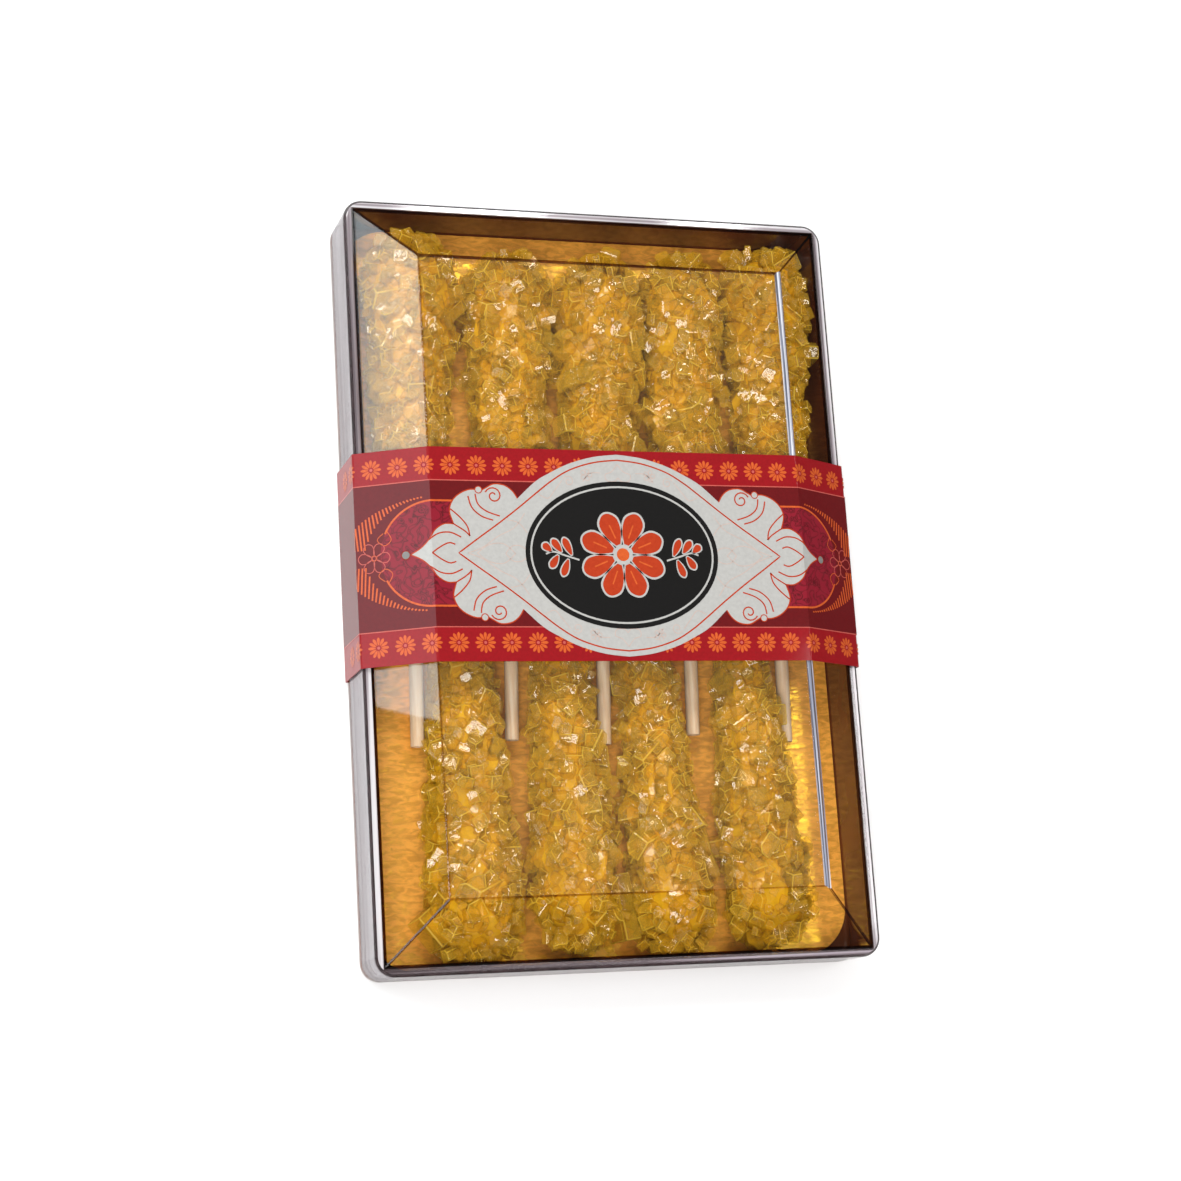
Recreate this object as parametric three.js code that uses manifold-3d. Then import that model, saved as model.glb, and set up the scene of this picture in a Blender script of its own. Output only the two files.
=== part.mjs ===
// A shut box of rock candy sticks: a smoke-brown tray under a clear lid with sloping
// shoulders, nine candy sticks on a gold card, and a printed paper band round the middle.
// Millimetres, +Z up, +Y along the box. The origin is the middle of the underside.

import * as THREE from "three";
import * as BufferGeometryUtils from "three/addons/utils/BufferGeometryUtils.js";
import Module from "manifold-3d";

const wasm = await Module();
wasm.setup();

// Box, taken over the outside of the closed lid
const boxWidth = 134;
const boxLength = 200.5;
const rimRise = 18;
const topRise = 27;
const cornerRadius = 5;
const flangeWidth = 2.4;
const shoulderInsetX = 17.1;
const shoulderInsetY = 17.6;
const lidWall = 0.7;
const trayWall = 0.6;
const trayFloor = 0.8;
const footHeight = 2;

// Card and paper
const cardThickness = 0.5;
const cardRadius = 13;
const paperThickness = 0.3;
const bandLow = -24;
const bandHigh = 31.3;

// Gap that two touching pieces keep
const gap = 0.3;

// Sticks: a drinking-straw tube, with rock candy grown round most of its length
const strawDiameter = 3.6;
const strawBore = 2.6;
const strawSides = 8;
const candyLength = 86;
const strawIntoTip = 5;
const neckRadius = 7.8;
const bellyRadius = 13.0;
const tipRadius = 9.0;
const squash = 0.86;
const bodyShare = 0.93;
const candySides = 10;
const candyRings = 13;

// Crystals that stand out of a candy
const crystalCount = 20;
const crystalSmall = 4.8;
const crystalLarge = 7.8;

// Heights worked out from the above
const boxBase = paperThickness + gap;
const rimZ = boxBase + rimRise;
const topZ = boxBase + topRise;
const skirtZ = boxBase + footHeight + gap;
const floorZ = boxBase + trayFloor;
const cardZ = floorZ + gap;
const cardTopZ = cardZ + cardThickness;
const candyFloorZ = cardTopZ + gap;
const shoulderSlope = (topZ - rimZ) / (shoulderInsetX - flangeWidth);
const wallDrop = lidWall * Math.sqrt(1 + shoulderSlope * shoulderSlope);

// The five upper candies point up the box and the four lower ones down it. Each row says
// where the axis crosses the candy's tip and where the bare end of its straw lies.
const upperTipY = 95;
const upperStrawY = -42;
const lowerTipY = -97;
const lowerStrawY = 27;
const strawEndZ = 7;
const upperCount = 5;
const sticks = [
  { tip: [-48.6, upperTipY - 2.4], straw: [-51.0, upperStrawY], belly: 1.04 },
  { tip: [-21.4, upperTipY - 6.2], straw: [-26.2, upperStrawY + 1.4], belly: 0.96 },
  { tip: [3.4, upperTipY - 7.0], straw: [-1.2, upperStrawY], belly: 1.02 },
  { tip: [27.2, upperTipY - 5.2], straw: [23.6, upperStrawY + 2.2], belly: 0.94 },
  { tip: [51.3, upperTipY - 2.2], straw: [49.8, upperStrawY], belly: 1.0 },
  { tip: [-40.4, lowerTipY + 0.6], straw: [-38.1, lowerStrawY], belly: 1.05 },
  { tip: [-12.0, lowerTipY + 2.8], straw: [-13.9, lowerStrawY + 1], belly: 1.0 },
  { tip: [13.6, lowerTipY + 0.4], straw: [8.2, lowerStrawY], belly: 0.94 },
  { tip: [39.6, lowerTipY + 2.0], straw: [35.9, lowerStrawY - 1], belly: 1.0 },
];

// Two large crystals that show at the lower ends: place, size and turn about Z in degrees
const largeCrystals = {
  5: { at: [-49.2, -87.5, 9.5], size: [8.5, 9.5, 7.5], turn: 38 },
  6: { at: [-0.6, -84.7, 9.0], size: [4.6, 17, 8.5], turn: 8 },
};

const clearPlastic = new THREE.MeshStandardMaterial({
  color: 0xe9e6e6, roughness: 0.05, metalness: 0, transparent: true, opacity: 0.35,
});
const smokePlastic = new THREE.MeshStandardMaterial({ color: 0x4a2a14, roughness: 0.15, metalness: 0 });
const goldCard = new THREE.MeshStandardMaterial({ color: 0xd0a028, roughness: 0.25, metalness: 1 });
const candySugar = new THREE.MeshStandardMaterial({ color: 0xcfa83a, roughness: 0.15, metalness: 0 });
const whiteStraw = new THREE.MeshStandardMaterial({ color: 0xf0e8d2, roughness: 0.35, metalness: 0 });
const redPaper = new THREE.MeshStandardMaterial({ color: 0xa8142a, roughness: 0.5, metalness: 0 });

const group = new THREE.Group();

function addPiece(name, geometry, material) {
  const mesh = new THREE.Mesh(geometry, material);
  mesh.name = name;
  group.add(mesh);
}

// A seeded draw, so that every build gives the same crystals
function makeDraw(seed) {
  let state = seed;
  return (low, high) => {
    state = (state + 0x6d2b79f5) | 0;
    let t = Math.imul(state ^ (state >>> 15), 1 | state);
    t = (t + Math.imul(t ^ (t >>> 7), 61 | t)) ^ t;
    return low + (high - low) * (((t ^ (t >>> 14)) >>> 0) / 4294967296);
  };
}

function toSolid(geometry) {
  const bare = geometry.clone();
  bare.deleteAttribute("normal");
  bare.deleteAttribute("uv");
  const merged = BufferGeometryUtils.mergeVertices(bare);
  return new wasm.Manifold(new wasm.Mesh({
    numProp: 3,
    vertProperties: new Float32Array(merged.attributes.position.array),
    triVerts: new Uint32Array(merged.index.array),
  }));
}

function toGeometry(solid) {
  const mesh = solid.getMesh();
  const geometry = new THREE.BufferGeometry();
  geometry.setAttribute("position", new THREE.BufferAttribute(new Float32Array(mesh.vertProperties), 3));
  geometry.setIndex(new THREE.BufferAttribute(new Uint32Array(mesh.triVerts), 1));
  geometry.computeVertexNormals();
  return geometry;
}

// An upright plate with rounded corners, between two heights
function roundedPlate(width, length, radius, lowZ, highZ) {
  const x = width / 2;
  const y = length / 2;
  const shape = new THREE.Shape();
  shape.moveTo(x, -y + radius);
  shape.absarc(x - radius, y - radius, radius, 0, Math.PI / 2);
  shape.absarc(-x + radius, y - radius, radius, Math.PI / 2, Math.PI);
  shape.absarc(-x + radius, -y + radius, radius, Math.PI, Math.PI * 1.5);
  shape.absarc(x - radius, -y + radius, radius, Math.PI * 1.5, Math.PI * 2);
  const plate = new THREE.ExtrudeGeometry(shape, { depth: highZ - lowZ, bevelEnabled: false, curveSegments: 6 });
  return plate.translate(0, 0, lowZ);
}

// The lid's sloping shoulders as a solid hipped block, its faces lowered by drop
function shoulderBlock(lowZ, highZ, drop) {
  const block = new THREE.BoxGeometry(1, 1, highZ - lowZ).translate(0, 0, (highZ + lowZ) / 2);
  const slopeY = (topZ - rimZ) / (shoulderInsetY - flangeWidth);
  const point = block.attributes.position;
  for (let i = 0; i < point.count; i += 1) {
    const rise = point.getZ(i) + drop - rimZ;
    const halfX = boxWidth / 2 - flangeWidth - rise / shoulderSlope;
    const halfY = boxLength / 2 - flangeWidth - rise / slopeY;
    point.setX(i, Math.sign(point.getX(i)) * halfX);
    point.setY(i, Math.sign(point.getY(i)) * halfY);
  }
  return block;
}

// The lid's outer form, or with an inset its inside, open downwards to lowZ
function lidForm(lowZ, inset, drop) {
  const rim = roundedPlate(boxWidth - 2 * inset, boxLength - 2 * inset, cornerRadius - inset, lowZ, rimZ - inset);
  const overlap = 0.5;
  return toSolid(rim).add(toSolid(shoulderBlock(rimZ - inset - overlap, topZ - inset, drop)));
}

function addLid() {
  const hollow = lidForm(skirtZ - 1, lidWall, wallDrop);
  addPiece("lid", toGeometry(lidForm(skirtZ, 0, 0).subtract(hollow)), clearPlastic);
}

function addTray() {
  const side = lidWall + gap;
  const wallTop = rimZ - lidWall - gap;
  const inside = side + trayWall;
  const foot = roundedPlate(boxWidth, boxLength, cornerRadius, boxBase, boxBase + footHeight);
  const wall = roundedPlate(boxWidth - 2 * side, boxLength - 2 * side, cornerRadius - side, boxBase, wallTop);
  const hollow = roundedPlate(
    boxWidth - 2 * inside, boxLength - 2 * inside, cornerRadius - inside, floorZ, wallTop + 1);
  addPiece("tray", toGeometry(toSolid(foot).add(toSolid(wall)).subtract(toSolid(hollow))), smokePlastic);
}

function addCard() {
  const margin = lidWall + gap + trayWall + gap;
  addPiece("gold_card", roundedPlate(
    boxWidth - 2 * margin, boxLength - 2 * margin, cardRadius, cardZ, cardTopZ), goldCard);
}

// The paper band: one taut turn round the box, up its sides and over the shoulders
function addBand() {
  const outline = (clear) => {
    const side = boxWidth / 2 + clear;
    const crease = boxWidth / 2 - shoulderInsetX + clear * 0.3;
    return [
      [-side, boxBase - clear], [side, boxBase - clear], [side, rimZ + clear * 0.6],
      [crease, topZ + clear], [-crease, topZ + clear], [-side, rimZ + clear * 0.6],
    ].map(([x, z]) => new THREE.Vector2(x, z));
  };
  const shape = new THREE.Shape(outline(gap + paperThickness));
  shape.holes.push(new THREE.Path(outline(gap)));
  const sleeve = new THREE.ExtrudeGeometry(shape, { depth: bandHigh - bandLow, bevelEnabled: false });
  addPiece("paper_band", sleeve.rotateX(Math.PI / 2).translate(0, bandHigh, 0), redPaper);
}

// Radius of a candy at a share of its way from neck to tip
function candyRadius(share, belly) {
  const swell = neckRadius + (bellyRadius * belly - neckRadius) * Math.min(1, share / 0.78);
  const round = share < 0.9 ? 0 : ((share - 0.9) / 0.1) ** 2;
  return swell + (tipRadius - swell) * round;
}

// Where a stick lies: its tip, its bare end, and the turn that brings +Y onto its axis
function placeStick(stick) {
  const tipZ = candyFloorZ + bellyRadius * stick.belly * squash - 1.4;
  const tip = new THREE.Vector3(stick.tip[0], stick.tip[1], tipZ);
  const end = new THREE.Vector3(stick.straw[0], stick.straw[1], strawEndZ);
  const axis = tip.clone().sub(end).normalize();
  const turn = new THREE.Quaternion().setFromUnitVectors(new THREE.Vector3(0, 1, 0), axis);
  return { tip, end, axis, turn };
}

// A rod along a stick's axis, between two distances from the bare end
function rodAlong(place, radius, from, to, sides) {
  const rod = new THREE.CylinderGeometry(radius, radius, to - from, sides);
  const middle = place.end.clone().addScaledVector(place.axis, (from + to) / 2);
  return rod.applyQuaternion(place.turn).translate(middle.x, middle.y, middle.z);
}

// The candy's body: a turned form whose points are pushed in and out like grown sugar
function candyBody(stick, place, draw) {
  const profile = [new THREE.Vector2(0, 0)];
  for (let ring = 0; ring < candyRings; ring += 1) {
    const share = ring / (candyRings - 1);
    profile.push(new THREE.Vector2(candyRadius(share, stick.belly) * bodyShare, share * candyLength));
  }
  profile.push(new THREE.Vector2(0, candyLength));
  const lathe = new THREE.LatheGeometry(profile, candySides);
  lathe.deleteAttribute("normal");
  lathe.deleteAttribute("uv");
  const body = BufferGeometryUtils.mergeVertices(lathe, 1e-3);
  const point = body.attributes.position;
  for (let i = 0; i < point.count; i += 1) {
    const onAxis = Math.hypot(point.getX(i), point.getZ(i)) < 0.1;
    const push = onAxis ? 1 : draw(0.86, 1.13);
    const slide = onAxis ? 0 : draw(-1.5, 1.5);
    point.setXYZ(i, point.getX(i) * push, point.getY(i) + slide, point.getZ(i) * push * squash);
  }
  return layCandy(body, place);
}

// Turns a form built along +Y, neck at the origin, onto the stick's axis
function layCandy(geometry, place) {
  const neck = place.tip.clone().addScaledVector(place.axis, -candyLength);
  return geometry.applyQuaternion(place.turn).translate(neck.x, neck.y, neck.z);
}

// One crystal: a sugar prism, turned at random, half sunk in the candy's side
function crystal(stick, place, index, draw) {
  const share = (index + 0.5 + draw(-0.4, 0.4)) / crystalCount;
  const around = index * 2.39996 + draw(-0.5, 0.5);
  const size = draw(crystalSmall, crystalLarge) * (0.75 + 0.35 * share);
  const radius = candyRadius(share, stick.belly) - size * 0.4;
  const prism = new THREE.BoxGeometry(size, size * draw(0.8, 1.3), size * draw(0.6, 1));
  prism.rotateX(draw(0, Math.PI)).rotateY(draw(0, Math.PI)).rotateZ(draw(0, Math.PI));
  prism.translate(radius * Math.cos(around), share * (candyLength - 4) + 2, radius * Math.sin(around) * squash);
  return layCandy(prism, place);
}

function largeCrystal({ at, size, turn }) {
  const prism = new THREE.BoxGeometry(...size).rotateY(0.25).rotateZ(THREE.MathUtils.degToRad(turn));
  return prism.translate(...at);
}

// The strip of the box that a candy may fill: half way to its neighbour on each side
function lane(index, places) {
  const inRow = (n) => n >= 0 && n < places.length && (n < upperCount) === (index < upperCount);
  const reach = 300;
  const own = places[index];
  const edge = (n, side) => {
    const other = inRow(n) ? places[n] : null;
    const middle = (key) => (other ? (own[key].x + other[key].x) / 2 - side * gap * 0.6 : side * boxWidth);
    const slant = (middle("tip") - middle("end")) / (own.tip.y - own.end.y);
    return [own.end.y - reach, own.end.y + reach].map(
      (y) => new THREE.Vector2(middle("end") + slant * (y - own.end.y), y));
  };
  const left = edge(index - 1, -1);
  const right = edge(index + 1, 1);
  const shape = new THREE.Shape([left[0], right[0], right[1], left[1]]);
  return new THREE.ExtrudeGeometry(shape, { depth: topZ, bevelEnabled: false });
}

function addStick(index, places, room) {
  const stick = sticks[index];
  const place = places[index];
  const draw = makeDraw(101 + index * 17);
  const fullLength = place.tip.distanceTo(place.end);
  const strawEnd = fullLength - strawIntoTip;
  const boreRadius = strawDiameter / 2 + gap;

  let candy = toSolid(candyBody(stick, place, draw));
  for (let i = 0; i < crystalCount; i += 1) {
    candy = candy.add(toSolid(crystal(stick, place, i, draw)));
  }
  if (largeCrystals[index]) {
    candy = candy.add(toSolid(largeCrystal(largeCrystals[index])));
  }
  candy = candy.intersect(room).intersect(toSolid(lane(index, places)));
  candy = candy.subtract(toSolid(rodAlong(place, boreRadius, 0, strawEnd + gap, 8)));
  places.forEach((other, n) => {
    if (n !== index) {
      candy = candy.subtract(toSolid(rodAlong(other, boreRadius + 0.2, -2, 60, 8)));
    }
  });
  addPiece(`candy_${index + 1}`, toGeometry(candy), candySugar);

  const outer = rodAlong(place, strawDiameter / 2, 0, strawEnd, strawSides);
  const bore = rodAlong(place, strawBore / 2, -1, strawEnd + 1, strawSides);
  addPiece(`straw_${index + 1}`, toGeometry(toSolid(outer).subtract(toSolid(bore))), whiteStraw);
}

addTray();
addCard();
const places = sticks.map(placeStick);
const roomAbove = toSolid(roundedPlate(boxWidth - 8, boxLength - 5, 3, candyFloorZ, topZ));
const room = lidForm(boxBase, lidWall + gap, wallDrop + 2 * gap).intersect(roomAbove);
sticks.forEach((stick, index) => addStick(index, places, room));
addLid();
addBand();

export default group;
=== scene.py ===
import math
import random

import bmesh
import bpy
from mathutils import Matrix, Vector
from mathutils.bvhtree import BVHTree
from mathutils.geometry import interpolate_bezier


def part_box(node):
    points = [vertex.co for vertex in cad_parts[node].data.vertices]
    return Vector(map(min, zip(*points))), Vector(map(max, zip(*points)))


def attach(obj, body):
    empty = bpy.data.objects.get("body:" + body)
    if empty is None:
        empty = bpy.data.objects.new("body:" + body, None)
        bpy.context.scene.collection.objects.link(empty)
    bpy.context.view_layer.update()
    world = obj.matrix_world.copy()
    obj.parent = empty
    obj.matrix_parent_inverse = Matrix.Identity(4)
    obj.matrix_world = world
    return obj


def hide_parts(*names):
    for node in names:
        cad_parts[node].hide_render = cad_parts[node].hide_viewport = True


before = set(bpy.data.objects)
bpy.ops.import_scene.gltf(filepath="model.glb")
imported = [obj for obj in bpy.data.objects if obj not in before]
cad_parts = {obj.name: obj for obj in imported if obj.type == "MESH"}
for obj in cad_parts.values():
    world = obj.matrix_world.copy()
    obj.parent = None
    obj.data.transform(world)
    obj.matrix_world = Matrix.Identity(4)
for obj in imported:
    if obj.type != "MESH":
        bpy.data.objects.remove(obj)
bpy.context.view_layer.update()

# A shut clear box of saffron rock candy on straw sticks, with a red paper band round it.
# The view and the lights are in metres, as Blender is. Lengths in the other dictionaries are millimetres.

mm = 0.001
sameHeight = 0.1 * mm  # how near two heights count as one
flatPanel = 60 * mm * mm  # a face larger than this is a flat panel and is shaded flat
boxes = {name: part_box(name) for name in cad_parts}


# Helpers

def linear(hexColour):
    parts = [int(hexColour[i:i + 2], 16) / 255 for i in (1, 3, 5)]
    return tuple(c / 12.92 if c <= 0.04045 else ((c + 0.055) / 1.055) ** 2.4 for c in parts) + (1.0,)


def addNode(tree, kind, settings=None, links=None):
    node = tree.nodes.new(kind)
    for key, value in (settings or {}).items():
        if isinstance(key, int) or key in node.inputs:
            node.inputs[key].default_value = value
        else:
            setattr(node, key, value)
    for key, socket in (links or {}).items():
        tree.links.new(socket, node.inputs[key])
    return node


def newMaterial(name):
    material = bpy.data.materials.new(name)
    material.use_nodes = True
    tree = material.node_tree
    tree.nodes.clear()
    return material, tree, addNode(tree, "ShaderNodeTexCoord").outputs["Object"]


def addRamp(tree, factor, stops):
    ramp = addNode(tree, "ShaderNodeValToRGB", links={"Fac": factor})
    elements = ramp.color_ramp.elements
    while len(elements) < len(stops):
        elements.new(0.5)
    for element, (place, colour) in zip(elements, stops):
        element.position = place
        element.color = linear(colour)
    return ramp.outputs["Color"]


def addPiece(name, bm, materials, node, smoothDegrees=None):
    mesh = bpy.data.meshes.new(name)
    bm.to_mesh(mesh)
    bm.free()
    for material in materials:
        mesh.materials.append(material)
    if smoothDegrees:
        mesh.set_sharp_from_angle(angle=math.radians(smoothDegrees))
    for face in mesh.polygons:
        face.use_smooth = smoothDegrees is not None and face.area < flatPanel
    piece = bpy.data.objects.new(name, mesh)
    bpy.context.scene.collection.objects.link(piece)
    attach(piece, "root")
    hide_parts(node)
    return piece


def roundedQuad(bm, low, high, z, radius, segments):
    quad = bmesh.ops.create_grid(bm, x_segments=1, y_segments=1, size=0.5)["verts"]
    bmesh.ops.scale(bm, vec=(high.x - low.x, high.y - low.y, 1), verts=quad)
    bmesh.ops.translate(bm, vec=((high.x + low.x) / 2, (high.y + low.y) / 2, z), verts=quad)
    bmesh.ops.bevel(bm, geom=quad, offset=radius, offset_type="OFFSET", segments=segments, profile=0.5,
                    affect="VERTICES", material=-1)
    bm.faces.ensure_lookup_table()
    return bm.faces[0]


def raiseFace(bm, face, height, spread=(1, 1)):
    made = bmesh.ops.extrude_face_region(bm, geom=[face, *face.edges])["geom"]
    top = [item for item in made if isinstance(item, bmesh.types.BMFace)][0]
    centre = top.calc_center_median()
    bmesh.ops.scale(bm, vec=(spread[0], spread[1], 1), verts=top.verts[:],
                    space=Matrix.Translation(-centre))
    bmesh.ops.translate(bm, vec=(0, 0, height), verts=top.verts[:])
    return top


def insetFace(bm, face, width):
    bmesh.ops.inset_region(bm, faces=[face], thickness=width, depth=0, use_even_offset=True)
    return face


def bevelEdges(bm, edges, width, segments, clamp=True):
    return bmesh.ops.bevel(bm, geom=edges, offset=width, offset_type="OFFSET", segments=segments, profile=0.5,
                           affect="EDGES", material=-1, clamp_overlap=clamp)["faces"]


def edgesAtHeight(bm, z, tolerance=0.02 * mm):
    return [e for e in bm.edges if all(abs(v.co.z - z) < tolerance for v in e.verts)]


# Camera, floor and light

viewSet = {
    "place": (-0.19631, -0.13414, 0.59157),
    "forward": (0.30789, 0.21137, -0.92765),
    "up": (-0.00628, 0.97544, 0.22018),
    "lens": 72.85,
    "floorSize": 6.0,
    "floorColour": "#f6f5f4",
    "worldColour": "#ffffff",
    "worldStrength": 0.6,
    "worldDark": 0.05,  # the share of it left where a sloping facet mirrors it to the camera
    "worldTop": 0.3,  # the same for the flat top
    "mirrored": [(0.308, 0.211, 0.928), (0.308, -0.711, 0.633), (0.308, 0.915, 0.263), (0.967, 0.211, 0.145),
                 (-0.688, 0.05, 0.72)],
}

# A light with no aim points straight down. Those at 1 m are where the foil mirrors them to the camera.
lightSet = {
    "softbox": {"place": (-0.66, 0.355, 0.56), "size": (0.5, 0.55), "power": 2.35, "aim": (0, 0.05, 0.02),
                "colour": (0.8, 0.94, 1.0)},
    "backBox": {"place": (-0.25, 0.7, 1.2), "size": (0.5, 0.35), "power": 8.0, "aim": (0, 0, 0)},
    "frontBox": {"place": (-0.5, -0.45, 1.15), "size": (0.6, 0.6), "power": 13.7, "aim": (0, 0, 0)},
    "foilStrip": {"place": (0.5375, 0.077, 1.0), "size": (0.125, 0.2), "power": 0.8},
    "topPatchLeft": {"place": (0.25, 0.49, 1.0), "size": (0.1, 0.06), "power": 0.6},
    "topPatchRight": {"place": (0.43, 0.49, 1.0), "size": (0.06, 0.06), "power": 0.35},
    "bottomStrip": {"place": (0.33, -0.013, 1.0), "size": (0.3, 0.03), "power": 0.25},
    "creaseBox": {"place": (0.95, 0.3, 0.85), "size": (0.5, 0.14), "power": 1.0, "aim": (0, 0, 0)},
}


def buildView():
    forward = Vector(viewSet["forward"]).normalized()
    right = forward.cross(Vector(viewSet["up"])).normalized()
    up = right.cross(forward)
    cameraData = bpy.data.cameras.new("productCamera")
    cameraData.lens = viewSet["lens"]
    cameraData.sensor_width = 36
    camera = bpy.data.objects.new("productCamera", cameraData)
    turn = Matrix((right, up, -forward)).transposed().to_4x4()
    camera.matrix_world = Matrix.Translation(viewSet["place"]) @ turn
    bpy.context.scene.collection.objects.link(camera)
    bpy.context.scene.camera = camera

    bm = bmesh.new()
    bmesh.ops.create_grid(bm, x_segments=8, y_segments=8, size=viewSet["floorSize"] / 2)
    mesh = bpy.data.meshes.new("paleFloor")
    bm.to_mesh(mesh)
    bm.free()
    floor = bpy.data.objects.new("paleFloor", mesh)
    bpy.context.scene.collection.objects.link(floor)
    material, tree, place = newMaterial("paintedBoardMatt")  # even matt white, so the light alone models it
    grain = addNode(tree, "ShaderNodeTexNoise", {"Scale": 1 / (6 * mm), "Detail": 3}, {"Vector": place})
    bump = addNode(tree, "ShaderNodeBump", {"Strength": 0.05, "Distance": 0.1 * mm},
                   {"Height": grain.outputs["Fac"]})
    paint = addNode(tree, "ShaderNodeBsdfPrincipled",
                    {"Base Color": linear(viewSet["floorColour"]), "Roughness": 0.8},
                    {"Normal": bump.outputs["Normal"]})
    addNode(tree, "ShaderNodeOutputMaterial", links={"Surface": paint.outputs["BSDF"]})
    mesh.materials.append(material)


def buildLight():
    world = bpy.data.worlds.new("studio")
    world.use_nodes = True
    tree = world.node_tree
    tree.nodes.clear()
    # A pale tent, dim in the directions that the clear lid's top and facets mirror to the camera
    direction = addNode(tree, "ShaderNodeTexCoord").outputs["Generated"]
    strength = addNode(tree, "ShaderNodeValue")
    strength.outputs["Value"].default_value = viewSet["worldStrength"]
    strength = strength.outputs["Value"]
    for mirrored in viewSet["mirrored"]:
        aim = addNode(tree, "ShaderNodeVectorMath", {"operation": "DOT_PRODUCT", 1: mirrored}, {0: direction})
        least = viewSet["worldTop" if mirrored[2] > 0.9 else "worldDark"]
        dim = addNode(tree, "ShaderNodeMapRange",
                      {"interpolation_type": "SMOOTHSTEP", "From Min": 0.86, "From Max": 0.95,
                       "To Min": 1.0, "To Max": least}, {"Value": aim.outputs["Value"]})
        strength = addNode(tree, "ShaderNodeMath", {"operation": "MULTIPLY"},
                           {0: strength, 1: dim.outputs["Result"]}).outputs["Value"]
    sky = addNode(tree, "ShaderNodeBackground", {"Color": linear(viewSet["worldColour"])},
                  {"Strength": strength})
    addNode(tree, "ShaderNodeOutputWorld", links={"Surface": sky.outputs["Background"]})
    bpy.context.scene.world = world

    for name, values in lightSet.items():
        lightData = bpy.data.lights.new(name, "AREA")
        lightData.shape = "RECTANGLE"
        lightData.size, lightData.size_y = values["size"]
        lightData.energy = values["power"]
        lightData.color = values.get("colour", (1, 1, 1))
        light = bpy.data.objects.new(name, lightData)
        place = Vector(values["place"])
        aim = Vector(values.get("aim", (place.x, place.y, 0))) - place
        turn = aim.to_track_quat("-Z", "Y").to_matrix().to_4x4()
        light.matrix_world = Matrix.Translation(place) @ turn
        bpy.context.scene.collection.objects.link(light)
    bpy.context.scene.view_settings.view_transform = "Standard"


buildView()
buildLight()
print("camera, floor and light")


# Tray: polystyrene with a foot that the lid's skirt stands on, its dark brown a painted shade and painted
# reflection

traySet = {
    "cornerRadius": 5,
    "foot": 2,
    "ledge": 1.0,
    "wall": 0.6,
    "floor": 0.8,
    "footRound": 0.3,
    "floorFillet": 1.2,
}


def trayStyrenePaintedShade():
    # Polystyrene, injection moulded, with a hard polished gloss. Its dark and deep brown is painted: it
    # stands in for the shaded surface seen through the clear tray and the amber contents reflected in its
    # walls
    material, tree, place = newMaterial("styrenePaintedShadeMoulded")
    flow = addNode(tree, "ShaderNodeTexNoise", {"Scale": 1 / (28 * mm), "Detail": 2}, {"Vector": place})
    tone = addRamp(tree, flow.outputs["Fac"], [(0.3, "#4a2410"), (0.7, "#6a3616")])
    ripple = addNode(tree, "ShaderNodeTexNoise", {"Scale": 1 / (9 * mm), "Detail": 1}, {"Vector": place})
    bump = addNode(tree, "ShaderNodeBump", {"Strength": 0.12, "Distance": 0.2 * mm},
                   {"Height": ripple.outputs["Fac"]})
    body = addNode(tree, "ShaderNodeBsdfPrincipled", {"Roughness": 0.12, "IOR": 1.59},
                   {"Base Color": tone, "Normal": bump.outputs["Normal"]})
    addNode(tree, "ShaderNodeOutputMaterial", links={"Surface": body.outputs["BSDF"]})
    return material


def buildTray():
    low, high = boxes["tray"]
    values = {key: value * mm for key, value in traySet.items()}
    bm = bmesh.new()
    face = roundedQuad(bm, low, high, low.z, values["cornerRadius"], 8)
    face = raiseFace(bm, face, values["foot"])
    face = insetFace(bm, face, values["ledge"])
    face = raiseFace(bm, face, high.z - low.z - values["foot"])
    face = insetFace(bm, face, values["wall"])
    face = raiseFace(bm, face, low.z + values["floor"] - high.z)
    bmesh.ops.recalc_face_normals(bm, faces=bm.faces[:])
    footEdges = [e for e in edgesAtHeight(bm, low.z) + edgesAtHeight(bm, low.z + values["foot"])
                 if abs(abs(e.verts[0].co.x) - high.x) < 0.6 * values["ledge"]
                 or abs(abs(e.verts[0].co.y) - high.y) < 0.6 * values["ledge"]]
    floorEdges = edgesAtHeight(bm, low.z + values["floor"])
    bevelEdges(bm, floorEdges, values["floorFillet"], 4)
    bevelEdges(bm, [e for e in footEdges if e.is_valid], values["footRound"], 2)
    addPiece("trayPaintedShade", bm, [trayStyrenePaintedShade()], "tray", smoothDegrees=35)


buildTray()
print("tray")


# Card: gold foil on board, lying on the tray's floor

cardSet = {
    "cornerRadius": 13,
    "edgeRound": 0.12,
    "embossPitch": 0.6,
    "sagPitch": 38,
    "lacquer": "#ffb040",
}


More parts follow.
